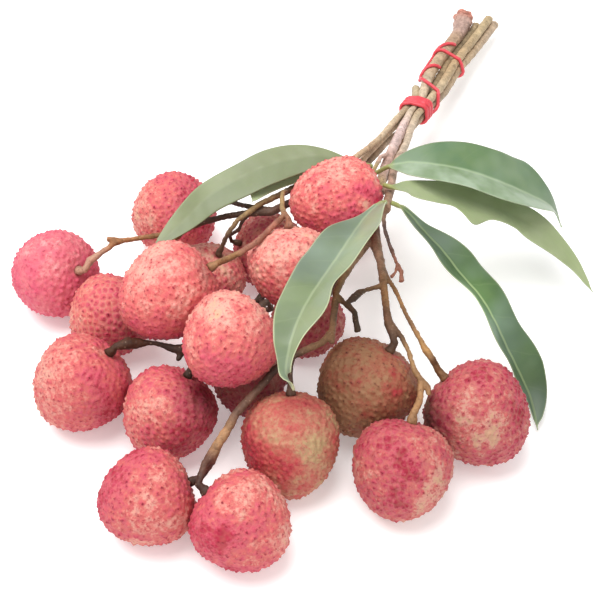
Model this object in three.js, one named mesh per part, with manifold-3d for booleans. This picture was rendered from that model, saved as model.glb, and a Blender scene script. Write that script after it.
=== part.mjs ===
// A picked bunch of lychees lying on a table: twenty fruits on six twigs, tied with a red rubber band.
// Millimetres, +Z up. The tied twigs run away along +Y and the heap of fruits lies at the -Y end.
import * as THREE from "three";
import { mergeVertices } from "three/addons/utils/BufferGeometryUtils.js";
import Module from "manifold-3d";

const wasm = await Module();
wasm.setup();

// ---- driving dimensions ----
const GAP = 0.3; // air left between two pieces that touch
const FRUIT_SIDES = 16;
// Outline of a fruit from blossom end to stalk dimple: [part of half width, part of length].
const FRUIT_OUTLINE = [
  [0, -0.5],
  [0.32, -0.468],
  [0.63, -0.372],
  [0.87, -0.215],
  [0.99, -0.02],
  [0.985, 0.16],
  [0.82, 0.325],
  [0.54, 0.428],
  [0.24, 0.466],
  [0, 0.44],
];
const DIMPLE = 0.44; // height of the dimple's floor over the middle, as a part of the length
const STALK_LEAD = 4; // the last straight bit of a stalk before its fruit
const TWIG_STEP = 9; // spacing of the rings along a twig
const LEAF_ROWS = 24;
const RIB = 0.9; // leaf thickness at the midrib
const MARGIN = 0.45; // leaf thickness at the margin
const STALK = 0.75; // half width of a leaf's stalk

// Each fruit: its middle (no height: it rests on the table), length, width, way to its stalk, skin.
const FRUITS = {
  fruit_01: { at: [-88, 18], long: 31.5, wide: 31, stalk: [0.75, -0.42, 0.52], skin: "#c8506a" },
  fruit_02: { at: [-48, 50], long: 31.5, wide: 31, stalk: [0.72, -0.2, 0.6], skin: "#cf5b66" },
  fruit_03: { at: [-65.6, -2.8], long: 30, wide: 29, stalk: [0.5, 0.5, 0.6], skin: "#cf5a66" },
  fruit_04: { at: [-43, -14, 37], long: 34.5, wide: 32, stalk: [0.85, 0.34, 0.39], skin: "#dd7a78" },
  fruit_05: { at: [-71.8, -34.8], long: 32.5, wide: 31.5, stalk: [0.67, 0.3, 0.68], skin: "#cc5a62" },
  fruit_06: { at: [-42.2, -46.6], long: 31, wide: 30, stalk: [0.45, 0.45, 0.77], skin: "#c6505c" },
  fruit_07: { at: [-46.5, -79], long: 30, wide: 29.5, stalk: [0.94, 0.31, 0.17], skin: "#c85268" },
  fruit_08: { at: [-17, -88], long: 30.5, wide: 30, stalk: [-0.76, 0.46, 0.46], skin: "#cb5568" },
  fruit_09: { at: [-22, -39, 41], long: 30.5, wide: 30, stalk: [0.6, 0.6, 0.3], skin: "#dc7a76" },
  fruit_10: { at: [-3, -60], long: 34.5, wide: 30.5, stalk: [0, 0.6, 0.8], skin: "#c46a5c" },
  fruit_11: { at: [12.5, 25, 44], long: 33.5, wide: 28.5, stalk: [0.93, 0.25, 0], skin: "#dc7674" },
  fruit_12: { at: [-3, -7, 42], long: 28, wide: 28, stalk: [-0.05, 0.6, 0.8], skin: "#de7e78" },
  fruit_13: { at: [21, -37], long: 33, wide: 32.5, stalk: [0.51, 0.4, 0.76], skin: "#b0665a" },
  fruit_14: { at: [31, -69], long: 32, wide: 31, stalk: [0.21, 0.65, 0.73], skin: "#c2525e" },
  fruit_15: { at: [57, -48], long: 34.5, wide: 33, stalk: [-0.67, 0.52, 0.52], skin: "#cc5262" },
  fruit_16: { at: [2, -3], long: 26.5, wide: 26, stalk: [0.6, 0.6, 0.55], skin: "#b84c50" },
  fruit_17: { at: [-10.5, 32.5], long: 28, wide: 27.5, stalk: [-0.86, -0.2, 0.45], skin: "#b84854" },
  fruit_18: { at: [-33, 16], long: 27, wide: 26, stalk: [0.35, 0.1, 0.93], skin: "#c05a5c" },
  fruit_19: { at: [-17, -29], long: 26, wide: 25.5, stalk: [0.1, 0.55, 0.83], skin: "#b04a50" },
  fruit_20: { at: [15, 53], long: 25, wide: 24, stalk: [0.8, -0.3, 0.5], skin: "#bc5058" },
};

// The rubber band's middle, the way the tied twigs run there, and each twig's place across the bundle
// ([to the right, up]) in the band and beyond it ([height above the band, to the right, up, thickness]).
const BAND_AT = [47, 108.5, 20.5];
const BUNDLE_WAY = [36, 74, -11];
const HELD = 2.6; // thickness of each twig in the band
const PLACES = {
  stem_1: { band: [-3.1, 1], beyond: [[14, -5.6, 1.4, 2.8]] },
  stem_2: {
    band: [-2.8, -2],
    beyond: [[22, -1, -0.6, 2.8], [42, -2.3, 0.9, 2.9], [64, -3.9, -0.6, 3], [88, -4.9, -0.5, 3]],
  },
  stem_3: { band: [0.2, -1.7], beyond: [[10, 0.8, -2.2, 2.4]] },
  stem_4: {
    band: [-0.3, 1.7],
    beyond: [[22, -3.9, 3, 4], [42, -5.6, 3.3, 4.3], [64, -6.8, 3, 5], [70, -7.3, 2.9, 5.2],
      [78, -9, 2.8, 6.6], [86, -11, 2.8, 6.2]],
  },
  stem_5: {
    band: [2.7, 1.5],
    beyond: [[22, 2.8, 1.9, 2.9], [42, 0.8, 2.2, 2.8], [64, 0.2, 2, 2.9], [93, -1, 1.9, 3.1]],
  },
  stem_6: {
    band: [3.2, -1.5],
    beyond: [[22, 3.8, -1.4, 3], [42, 2.2, -1.1, 3], [64, 2.2, -1.2, 3.1], [96, 1.2, -1.5, 3.3]],
  },
};

// Each twig from the band down. A point is [x, y, z, thickness]. A branch starts inside its twig; one that
// ends in a fruit's name runs on into that fruit's dimple.
const STEMS = {
  stem_1: {
    bark: "#a8866c",
    limbs: [
      ["band", [36, 90.7, 26.8, 2.4], [30.5, 74, 33, 2.3], [24, 61.2, 36.8, 2.2], [18, 53, 38, 2.2],
        [6, 43.5, 39, 2.2], [-4.5, 35, 39.2, 2.2], [-14, 27.6, 39.6, 2], [-21.5, 21.5, 37.5, 1.6],
        [-25.2, 18.5, 33.5, 1.5], "fruit_18"],
      [[-4.7, 34.5, 39.4, 1.7], [-5.8, 25.8, 46.5, 1.6], [-6, 13, 51, 1.6], [-5.2, 5.2, 54.6, 1.8],
        "fruit_12"],
      [[-5.3, 6, 53, 1.8], [-8, 0, 55, 1.9], [-13.5, -7.5, 54, 1.9], [-19.5, -9.5, 50.5, 2.1],
        "fruit_04"],
    ],
  },
  stem_2: {
    bark: "#8c7060",
    limbs: [
      ["band", [37.5, 94.8, 22.2, 2.3], [31.5, 79, 28, 2.3], [26, 65.8, 32.2, 2.2],
        [21, 55.5, 34, 2.3], [10, 43, 36, 2.5], [0, 34, 37, 2.7], [-10, 26.5, 37, 2.9],
        [-18, 26.5, 36.5, 2.4], [-25.5, 26.5, 35, 2], [-34.5, 25.5, 33, 2.2], [-40, 23.5, 31.5, 2],
        [-50, 23, 29, 1.7], [-62, 21, 28.5, 1.7], [-65, 19.5, 28.5, 2.2], [-67.5, 17.5, 27.5, 1.8],
        [-70, 15.5, 27, 2], [-73, 13.5, 25.8, 2.8], "fruit_01"],
      [[-9, 26.5, 37.5, 2.2], [-18.5, 29.5, 37, 1.8], [-24.5, 34.5, 34.5, 1.6], [-30, 41, 30, 1.5],
        "fruit_02"],
      [[-17, 26.3, 36.5, 1.6], [-20, 24.5, 35, 1.4], [-21.5, 24.5, 30.5, 1.3], [-25, 27.5, 25, 1.3],
        "fruit_17"],
      [[-39.5, 23.8, 31.5, 1.7], [-46, 17, 30, 1.6], [-53, 9, 28.5, 1.6], "fruit_03"],
      [[-62, 21, 28.5, 1.5], [-67.5, 20.8, 29.4, 1.9]],
    ],
  },
  stem_3: {
    bark: "#6e5644",
    limbs: [
      ["band", [39.9, 97, 18, 2.5], [34.4, 85, 22.8, 2.4], [29.5, 71.5, 28, 2.5],
        [24.5, 61.5, 30, 2.5], [13, 45, 28.5, 2.5], [0, 18, 29, 2.4], [-15, -9, 27.2, 2.4],
        [-28, -23, 26.5, 2.3], [-35.5, -28.5, 27, 3.2], [-38.5, -29.8, 27, 3.8], [-41.5, -29, 27, 2.4],
        [-46, -27, 27, 1.4], [-49.5, -26.6, 27, 1.7], [-52.5, -27, 27.2, 3.2], [-55.8, -27.8, 28, 4.2],
        "fruit_05"],
      [[-27, -22, 26.6, 1.8], [-33, -30, 29, 1.7], "fruit_06"],
      [[-13, -6, 27.4, 1.8], [-12, -18, 33, 1.7], [-9, -25, 41, 1.7], "fruit_09"],
      [[-16, -11, 27.2, 1.8], [-15, -17, 28, 1.7], "fruit_19"],
      [[-37.5, -29, 27, 3], [-39.5, -33, 25.5, 1.2]],
    ],
  },
  stem_4: {
    bark: "#a07c66",
    limbs: [
      ["band", [41, 93.5, 24, 3.6], [37, 78.5, 28, 3.5], [34, 67, 31, 3.4], [31, 55.5, 33, 3.4],
        [29, 45.5, 33, 3.4], [27, 36, 31, 3.6], [26, 28.5, 29, 4.4], [26, 20.5, 29, 4.7],
        [26.8, 14, 30, 3.4], [27.5, 7.5, 31, 2.8], [28, -7.5, 32, 2.4], [28.3, -17, 32, 2.4],
        [28.7, -22, 31.7, 3], "fruit_13"],
      [[27.2, 10, 31, 2.4], [28.4, 4, 31.3, 1.6], [29.2, 0, 31.5, 1.4], [32, -8.5, 32, 1.4],
        [34.5, -18.5, 32, 1.4], [38.5, -29.5, 31.5, 1.6], [40, -33.5, 31, 2.4], [42, -36.5, 30, 2.2],
        "fruit_15"],
      [[28.5, -20.5, 31.8, 2.2], [30.5, -24.5, 31.5, 2], [32.5, -28, 31.5, 1.5], [34.5, -34, 31, 1.4],
        [35.8, -40.5, 29.8, 1.6], [38, -44, 28.2, 2.2], [37.6, -49, 27, 2], [36.5, -53, 27, 2.2],
        "fruit_14"],
      [[37.8, -43.5, 28.4, 1.8], [40, -46, 27.5, 2], [40.3, -48, 26, 1.6]],
      [[27.5, -5, 32, 1.7], [21.5, -8.5, 33, 1.4], [19.5, -10.8, 34, 2.4], [17.5, -14, 35, 2.6],
        [15.5, -17, 36, 1.4]],
      [[12, -11, 33.8, 1.8], [14, -15, 34, 1.6], [16, -18, 35, 2], [17.5, -21.5, 36, 1.8],
        [18, -26, 35.5, 2], [18.5, -28.5, 34.2, 2.2]],
      [[25.8, 22, 29, 3], [23, 17, 30, 2.7], [18, 5.5, 32.5, 2.4], [14.5, -2.5, 33.5, 2.4],
        [12, -10, 34, 2.3], [11.3, -17, 34, 2.2], [10.5, -25.5, 34, 2.2], [10, -33, 34, 1.8]],
      [[10.3, -28.5, 34, 2.2], [6.5, -33.5, 34, 2.1], [1.5, -36.5, 34, 2], [-3, -39, 33.5, 2.1],
        [-8, -43.8, 32.8, 2.3], [-12, -49.5, 32, 2.4], [-16, -54.5, 31, 2.5], [-19.5, -59, 30, 2.5],
        [-22, -63.5, 28, 2.7], [-25, -68, 26, 3], [-27, -71.5, 23.5, 3.8], "fruit_07"],
      [[-2.5, -38.8, 33.5, 1.8], [-3, -43.5, 34, 1.8], "fruit_10"],
      [[-26.3, -70, 24.8, 2.6], [-28.5, -74.5, 25, 2.3], "fruit_08"],
      [[33.5, 66, 31.5, 1.8], [29.5, 57, 37, 1.6], [26.5, 46.5, 39.5, 1.5], [25.5, 41, 40, 1.3]],
    ],
  },
  stem_5: {
    bark: "#9a7a5e",
    limbs: [
      ["band", [43, 87.5, 26, 2.8], [40, 73, 30, 2.7], [36, 58, 35, 2.7], [33.5, 46, 39, 2.7],
        [31.6, 31, 44, 2.8], [29.2, 17, 49, 2.8], [28.6, 13, 50, 3.4]],
      [[28.5, 14.5, 49.4, 1.8], [28, 11.5, 46.5, 1.4], [28.5, 9.5, 43.5, 1.2], [30, 5, 41, 1.2],
        [32, -1.5, 39, 1.2], [33.5, -4.5, 38, 1.4], [33.5, -8, 36.5, 1.8]],
      [[32.3, -2, 38.8, 1], [31.5, -5, 37.8, 0.9], [30, -6.5, 37, 1.3]],
      [[31.9, 32.8, 43.4, 1.8], [31.6, 30.8, 44, 1.8], "fruit_11"],
    ],
  },
  stem_6: {
    bark: "#8a5a44",
    limbs: [
      ["band", [44, 97, 19, 2.6], [37, 76, 21, 2.6], [30, 56, 24, 2.6], [27, 44, 26, 2.5],
        [20, 22, 27, 2.4], [14, 10, 25, 2.2], "fruit_16"],
      [[27.5, 46, 25.5, 1.9], [28, 47, 22, 1.7], "fruit_20"],
    ],
  },
};

// Each leaf: its stalk and midrib, the half widths left and right of the midrib at even steps from the
// foot of the blade to its tip, the roll of the blade about the midrib (a positive angle lowers its right
// side), and how far the halves fold up. The stalk is the first span.
const LEAVES = {
  leaf_1: {
    way: [[25, 45.5, 40.4], [18.5, 43.5, 45], [6.5, 43.7, 48], [-3.5, 41.8, 48], [-13.5, 38, 47.5],
      [-22.5, 33, 46], [-32, 27.5, 43], [-40.5, 17.5, 40], [-50, 8, 36.5]],
    left: [0.8, 5.2, 6.8, 8.2, 8.5, 7.8, 6.3, 4, 0.5],
    right: [0.8, 3.5, 5.5, 5.8, 5.2, 5.2, 4.8, 3.8, 0.5],
    roll: -20,
    fold: 10,
    green: "#8c9a72",
  },
  leaf_2: {
    way: [[26, 50, 38.3], [18.5, 49, 41.4], [10.5, 47.5, 42.7], [2, 44, 42.8], [-6, 39.6, 42.4],
      [-12.5, 34, 42.3], [-16.5, 25.5, 42.5]],
    left: [0.8, 4.5, 6, 6, 5, 3.5, 0.5],
    right: [0.8, 3.5, 4, 4, 4.5, 4.5, 0.5],
    roll: -10,
    fold: 6,
    green: "#7f9a78",
  },
  leaf_3: {
    way: [[27.2, 43.3, 40.8], [31.5, 40.5, 46], [38, 40, 48], [49, 38.5, 48], [59.5, 37.5, 46],
      [70.5, 36.5, 42], [80.5, 37.5, 36], [90.5, 39.5, 28], [96.5, 41, 17]],
    left: [0.8, 4.5, 9.5, 11.5, 12, 13.5, 14, 6.5, 0.5],
    right: [1.2, 7.5, 10.5, 11.5, 11.5, 12, 9.5, 4, 0.5],
    roll: 5,
    fold: 15,
    green: "#6f9a74",
  },
  leaf_4: {
    way: [[28.8, 26.5, 49.1], [31.2, 24.6, 49.8], [36, 28, 47.2], [46, 31, 43.5], [56.5, 32, 39.5],
      [67.5, 31.5, 35.5], [78, 31.5, 30], [88.5, 28.5, 23.5], [98, 24.5, 15.5], [105, 16, 8]],
    left: [0.8, 1.5, 3, 4, 5, 6, 6, 6, 6, 5, 3.5, 1.8, 0.5],
    right: [0.8, 3.5, 6.5, 8, 8, 14.2, 7.6, 8, 8.6, 7, 5, 2.3, 0.5],
    roll: 10,
    fold: 15,
    green: "#8f9672",
  },
  leaf_5: {
    way: [[28.4, 13.4, 52.6], [26, 9, 55.5], [21.5, 0.5, 58], [16.5, -11, 60], [11.5, -22.5, 61],
      [7.5, -30.5, 61], [3, -40, 61], [-0.5, -48.5, 60], [-3, -57, 57.5], [-4, -61, 51.5], [-2, -60, 42]],
    left: [3.5, 7.5, 11.5, 10, 8.2, 10.5, 4.5, 1.8, 0.5],
    right: [0.8, 3, 8.5, 9.8, 8.8, 8.5, 5.5, 2.8, 0.5],
    roll: 16,
    fold: 25,
    green: "#7e9a80",
  },
  leaf_6: {
    way: [[30.6, 15, 51], [33, 15, 49.6], [36, 13.5, 48], [41, 6.5, 46], [47, 0, 43], [52.5, -6.5, 39],
      [59.5, -12, 33], [64.5, -16.5, 26], [68.5, -21, 19], [73, -26.5, 12], [76.5, -33.5, 7],
      [78, -43.5, 3]],
    left: [0.8, 1.8, 5, 8.2, 8.4, 8, 9.6, 7, 0.5],
    right: [0.8, 2.8, 6, 7.2, 7.2, 6.8, 5.2, 3, 0.5],
    roll: -12,
    fold: 25,
    green: "#55805a",
  },
};

// The band's turns about the bundle, or about one twig of it: where a turn starts and ends along the
// bundle, how many turns, the start angle from the right, and how far it leans.
const BAND_THICK = 1.4;
const BAND_TURNS = [
  { from: -2.8, to: -2.8, turns: 1, start: 0, lean: 0.5 },
  { from: -1.5, to: -1.5, turns: 1, start: 90, lean: -0.4 },
  { from: -0.2, to: -0.2, turns: 1, start: 180, lean: 0.6 },
  { from: 1.1, to: 1.1, turns: 1, start: 0, lean: -0.3 },
  { from: 2.4, to: 2.4, turns: 1, start: 90, lean: 0.6 },
  { from: 3, to: 19.5, turns: 0.833, start: -120, lean: 0 },
  { from: 18, to: 42.5, turns: 0.03, start: 176, lean: 0 },
  { from: 42.5, to: 42.5, turns: 1, start: 0, lean: 0.5 },
  { from: 23.5, to: 30.5, turns: -0.44, start: 185, lean: 0, round: "stem_4" },
  { from: 42.5, to: 53, turns: -0.42, start: 185, lean: 0, round: "stem_4" },
];


// ---- helpers ----
const v3 = (p) => new THREE.Vector3(p[0], p[1], p[2]);
const group = new THREE.Group();

function addNode(name, geometry, colour, roughness) {
  const finish = new THREE.MeshStandardMaterial({ color: colour, roughness, metalness: 0 });
  const mesh = new THREE.Mesh(geometry, finish);
  mesh.name = name;
  group.add(mesh);
}

function solidOf(geometry) {
  const bare = new THREE.BufferGeometry();
  bare.setAttribute("position", geometry.getAttribute("position"));
  bare.setIndex(geometry.index);
  const merged = mergeVertices(bare, 1e-3);
  return new wasm.Manifold(
    new wasm.Mesh({
      numProp: 3,
      vertProperties: merged.attributes.position.array,
      triVerts: new Uint32Array(merged.index.array),
    }),
  );
}

function geometryOf(solid) {
  const mesh = solid.getMesh();
  const geometry = new THREE.BufferGeometry();
  geometry.setAttribute("position", new THREE.BufferAttribute(new Float32Array(mesh.vertProperties), 3));
  geometry.setIndex(new THREE.BufferAttribute(new Uint32Array(mesh.triVerts), 1));
  geometry.computeVertexNormals();
  return geometry;
}

// A closed skin over rings of points: quads between the rings, a fan over each end.
function skinOver(rings) {
  const sides = rings[0].length;
  const points = [];
  const faces = [];
  rings.forEach((ring) => ring.forEach((p) => points.push(p.x, p.y, p.z)));
  const at = (r, i) => r * sides + (i % sides);
  for (let r = 0; r + 1 < rings.length; r++)
    for (let i = 0; i < sides; i++)
      faces.push(at(r, i), at(r, i + 1), at(r + 1, i + 1), at(r, i), at(r + 1, i + 1), at(r + 1, i));
  const cap = (r, flip) => {
    const middle = rings[r].reduce((sum, p) => sum.add(p), new THREE.Vector3()).divideScalar(sides);
    const hub = points.length / 3;
    points.push(middle.x, middle.y, middle.z);
    for (let i = 0; i < sides; i++)
      flip ? faces.push(hub, at(r, i), at(r, i + 1)) : faces.push(hub, at(r, i + 1), at(r, i));
  };
  cap(0, false);
  cap(rings.length - 1, true);
  const geometry = new THREE.BufferGeometry();
  geometry.setAttribute("position", new THREE.Float32BufferAttribute(points, 3));
  geometry.setIndex(faces);
  geometry.computeVertexNormals();
  return geometry;
}

// ---- fruits ----
const stalkWay = (fruit) => v3(fruit.stalk).normalize();

function fruitGeometry(fruit) {
  const outline = FRUIT_OUTLINE.map(([r, h]) => new THREE.Vector2((r * fruit.wide) / 2, h * fruit.long));
  const geometry = new THREE.LatheGeometry(outline, FRUIT_SIDES);
  const turn = new THREE.Quaternion().setFromUnitVectors(new THREE.Vector3(0, 1, 0), stalkWay(fruit));
  geometry.applyQuaternion(turn);
  geometry.computeBoundingBox();
  fruit.height = fruit.at[2] ?? -geometry.boundingBox.min.z;
  geometry.translate(fruit.at[0], fruit.at[1], fruit.height);
  return geometry;
}

function addFruits() {
  for (const [name, fruit] of Object.entries(FRUITS))
    addNode(name, geometryOf(solidOf(fruitGeometry(fruit))), fruit.skin, 0.55);
}

// ---- twigs ----
const bundleWay = v3(BUNDLE_WAY).normalize();
const bundleSide = new THREE.Vector3(bundleWay.y, -bundleWay.x, 0).normalize();
const bundleUp = new THREE.Vector3().crossVectors(bundleSide, bundleWay);

function inBundle([side, up], along, thick) {
  const p = v3(BAND_AT).addScaledVector(bundleWay, along);
  p.addScaledVector(bundleSide, side).addScaledVector(bundleUp, up);
  return [p.x, p.y, p.z, thick];
}

// The two last points of a stalk: straight into the dimple, a gap short of its floor.
function intoFruit(name, thick) {
  const fruit = FRUITS[name];
  const way = stalkWay(fruit);
  const floor = v3([fruit.at[0], fruit.at[1], fruit.height]).addScaledVector(way, DIMPLE * fruit.long);
  const end = floor.clone().addScaledVector(way, GAP + 0.5);
  const lead = floor.clone().addScaledVector(way, STALK_LEAD);
  return [[lead.x, lead.y, lead.z, thick], [end.x, end.y, end.z, thick + 0.4]];
}

function bundled({ band, beyond }) {
  const free = beyond.map(([along, side, up, thick]) => inBundle([side, up], along, thick));
  return [...free.reverse(), inBundle(band, 6, HELD), inBundle(band, -6, HELD)];
}

function limbPoints(name, limb) {
  return limb.flatMap((point, i) => {
    if (point === "band") return bundled(PLACES[name]);
    if (typeof point === "string") return intoFruit(point, Math.min(limb[i - 1][3], 2.2));
    return [point];
  });
}

function ringAt(middle, way, side, reach, sides) {
  const other = new THREE.Vector3().crossVectors(way, side);
  return Array.from({ length: sides }, (_, i) => {
    const turn = (2 * Math.PI * i) / sides;
    const p = middle.clone().addScaledVector(side, reach * Math.cos(turn));
    return p.addScaledVector(other, reach * Math.sin(turn));
  });
}

function tube(points) {
  const sides = Math.max(...points.map((p) => p[3])) > 2.7 ? 8 : 6;
  const curve = new THREE.CatmullRomCurve3(points.map(v3), false, "centripetal");
  const spans = points.length - 1;
  const spots = [];
  for (let i = 0; i < spans; i++) {
    const length = v3(points[i]).distanceTo(v3(points[i + 1]));
    const pieces = Math.max(1, Math.round(length / TWIG_STEP));
    for (let j = 0; j < pieces; j++) spots.push(i + j / pieces);
  }
  spots.push(spans);
  const thickAt = (s) => {
    const i = Math.min(Math.floor(s), spans - 1);
    return points[i][3] + (points[i + 1][3] - points[i][3]) * (s - i);
  };
  let side = new THREE.Vector3(0.31, 0.17, 0.93);
  const rings = spots.map((s) => {
    const way = curve.getTangent(s / spans).normalize();
    side = side.clone().addScaledVector(way, -side.dot(way)).normalize();
    return ringAt(curve.getPoint(s / spans), way, side, thickAt(s) / 2, sides);
  });
  return solidOf(skinOver(rings));
}

function addStems() {
  for (const [name, stem] of Object.entries(STEMS)) {
    const limbs = stem.limbs.map((limb) => tube(limbPoints(name, limb)));
    const whole = limbs.reduce((sum, limb) => sum.add(limb));
    addNode(name, geometryOf(whole), stem.bark, 0.75);
  }
}

// ---- leaves ----
const valueAt = (list, t) => {
  const s = Math.max(t, 0) * (list.length - 1);
  const i = Math.min(Math.floor(s), list.length - 2);
  return list[i] + (list[i + 1] - list[i]) * (s - i);
};

function leafFrame(leaf, curve, t) {
  const way = curve.getTangent(t).normalize();
  const flat = new THREE.Vector3(way.y, -way.x, 0).normalize();
  const side = flat.applyAxisAngle(way, THREE.MathUtils.degToRad(leaf.roll));
  return { way, side, up: new THREE.Vector3().crossVectors(side, way) };
}

// One closed ring around the leaf: right margin, top of the midrib, left margin, underside of the midrib.
function leafRing(leaf, curve, t, blade) {
  const middle = curve.getPoint(t);
  const { side, up } = leafFrame(leaf, curve, t);
  const fold = THREE.MathUtils.degToRad(leaf.fold);
  const half = (list, sign, part) => {
    const reach = (blade < 0 ? STALK : valueAt(list, blade)) * part;
    const p = middle.clone().addScaledVector(side, sign * reach * Math.cos(fold));
    return p.addScaledVector(up, reach * Math.sin(fold));
  };
  const off = (p, h) => p.clone().addScaledVector(up, h);
  return [
    off(half(leaf.right, 1, 0.5), -MARGIN / 2 - 0.1),
    off(middle, -RIB / 2),
    off(half(leaf.left, -1, 0.5), -MARGIN / 2 - 0.1),
    off(half(leaf.left, -1, 1), -MARGIN / 2),
    off(half(leaf.left, -1, 1), MARGIN / 2),
    off(half(leaf.left, -1, 0.5), MARGIN / 2 + 0.1),
    off(middle, RIB / 2),
    off(half(leaf.right, 1, 0.5), MARGIN / 2 + 0.1),
    off(half(leaf.right, 1, 1), MARGIN / 2),
    off(half(leaf.right, 1, 1), -MARGIN / 2),
  ];
}

function leafGeometry(leaf) {
  const curve = new THREE.CatmullRomCurve3(leaf.way.map(v3), false, "centripetal");
  const base = 1 / (leaf.way.length - 1);
  const rings = [leafRing(leaf, curve, 0, -1), leafRing(leaf, curve, base * 0.5, -1)];
  for (let i = 0; i <= LEAF_ROWS; i++) {
    const blade = i / LEAF_ROWS;
    rings.push(leafRing(leaf, curve, base + (1 - base) * blade, blade));
  }
  return skinOver(rings);
}

function addLeaves() {
  for (const [name, leaf] of Object.entries(LEAVES))
    addNode(name, geometryOf(solidOf(leafGeometry(leaf))), leaf.green, 0.5);
}

// ---- rubber band ----
// Place and half thickness of a twig at a height along the bundle; nothing above its cut end.
function twigAt({ band, beyond }, along) {
  const stations = [[-99, ...band, HELD], [6, ...band, HELD], ...beyond];
  const i = stations.findIndex((station) => station[0] > along);
  if (i < 1) return [];
  const [low, high] = [stations[i - 1], stations[i]];
  const t = (along - low[0]) / (high[0] - low[0]);
  const [x, y, width] = [1, 2, 3].map((k) => low[k] + (high[k] - low[k]) * t);
  return [{ x, y, r: width / 2 }];
}

// How far the tight outline round the twigs stands out in a direction.
function reachOut(places, angle, along) {
  const twigs = places.flatMap((place) => twigAt(place, along));
  const outs = twigs.map(({ x, y, r }) => x * Math.cos(angle) + y * Math.sin(angle) + r);
  return Math.max(...outs) + GAP + 0.15 + BAND_THICK / 2;
}

function bandPoint(places, angle, along) {
  const step = 0.05;
  const out = reachOut(places, angle, along);
  const ahead = reachOut(places, angle + step, along);
  const slope = (ahead - reachOut(places, angle - step, along)) / (2 * step);
  const right = out * Math.cos(angle) - slope * Math.sin(angle);
  const up = out * Math.sin(angle) + slope * Math.cos(angle);
  const p = v3(BAND_AT).addScaledVector(bundleWay, along);
  return p.addScaledVector(bundleSide, right).addScaledVector(bundleUp, up);
}

function bandTurn({ from, to, turns, start, lean, round }) {
  const places = round ? [PLACES[round]] : Object.values(PLACES);
  const steps = Math.max(Math.round(14 * turns), 6);
  const closed = from === to;
  const spots = Array.from({ length: closed ? steps : steps + 1 }, (_, i) => {
    const angle = THREE.MathUtils.degToRad(start) + (2 * Math.PI * turns * i) / steps;
    return bandPoint(places, angle, from + ((to - from) * i) / steps + lean * Math.cos(angle));
  });
  const next = (i) => (closed ? spots[(i + 1) % steps] : spots[Math.min(i + 1, steps)]);
  const last = (i) => (closed ? spots[(i + steps - 1) % steps] : spots[Math.max(i - 1, 0)]);
  const rings = spots.map((p, i) => {
    const way = next(i).clone().sub(last(i)).normalize();
    const side = bundleWay.clone().addScaledVector(way, -bundleWay.dot(way)).normalize();
    return ringAt(p, way, side, BAND_THICK / 2, 5);
  });
  return solidOf(closed ? skinRound(rings) : skinOver(rings));
}

// A closed skin over rings whose last ring joins the first.
function skinRound(rings) {
  const sides = rings[0].length;
  const points = rings.flatMap((ring) => ring.flatMap((p) => [p.x, p.y, p.z]));
  const at = (r, i) => (r % rings.length) * sides + (i % sides);
  const faces = [];
  for (let r = 0; r < rings.length; r++)
    for (let i = 0; i < sides; i++)
      faces.push(at(r, i), at(r, i + 1), at(r + 1, i + 1), at(r, i), at(r + 1, i + 1), at(r + 1, i));
  const geometry = new THREE.BufferGeometry();
  geometry.setAttribute("position", new THREE.Float32BufferAttribute(points, 3));
  geometry.setIndex(faces);
  return geometry;
}

function addBand() {
  const whole = BAND_TURNS.map(bandTurn).reduce((sum, turn) => sum.add(turn));
  addNode("rubber_band", geometryOf(whole), "#d22b34", 0.4);
}

addFruits();
addStems();
addLeaves();
addBand();

// The origin: middle of the footprint, at table height.
const box = new THREE.Box3().setFromObject(group);
const middle = box.getCenter(new THREE.Vector3());
group.position.set(-middle.x, -middle.y, -box.min.z);

export default group;
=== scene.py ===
"""The looks of a picked bunch of lychees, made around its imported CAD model.

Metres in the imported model's frame, +Z up; the tied twigs run away along +Y. Tables are in millimetres.
"""

import math

import bpy
import numpy as np
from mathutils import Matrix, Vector, kdtree, noise


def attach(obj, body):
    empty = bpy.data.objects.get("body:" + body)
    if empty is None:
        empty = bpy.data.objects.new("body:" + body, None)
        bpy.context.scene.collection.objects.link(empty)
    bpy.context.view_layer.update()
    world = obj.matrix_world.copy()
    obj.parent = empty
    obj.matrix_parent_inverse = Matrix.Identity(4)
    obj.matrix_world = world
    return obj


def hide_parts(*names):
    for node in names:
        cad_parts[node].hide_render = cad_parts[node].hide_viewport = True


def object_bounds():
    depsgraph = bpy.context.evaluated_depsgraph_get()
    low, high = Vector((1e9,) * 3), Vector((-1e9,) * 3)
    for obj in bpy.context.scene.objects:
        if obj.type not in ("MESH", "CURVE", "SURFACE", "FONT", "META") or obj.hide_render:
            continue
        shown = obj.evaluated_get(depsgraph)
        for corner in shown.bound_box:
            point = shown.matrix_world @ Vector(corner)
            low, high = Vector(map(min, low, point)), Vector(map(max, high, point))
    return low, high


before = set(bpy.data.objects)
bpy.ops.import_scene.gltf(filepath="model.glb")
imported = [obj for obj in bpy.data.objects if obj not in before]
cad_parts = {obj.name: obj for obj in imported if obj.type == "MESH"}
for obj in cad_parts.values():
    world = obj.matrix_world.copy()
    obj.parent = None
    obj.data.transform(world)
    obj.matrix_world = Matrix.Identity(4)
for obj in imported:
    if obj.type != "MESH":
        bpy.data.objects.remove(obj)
CAD_BOX = [list(corner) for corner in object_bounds()]

MM = 0.001
SEED = 20

# ---- fruits ----
SPHERE_CUTS = 50  # faces along each edge of the cube that is blown up into a fruit's skin
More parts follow.
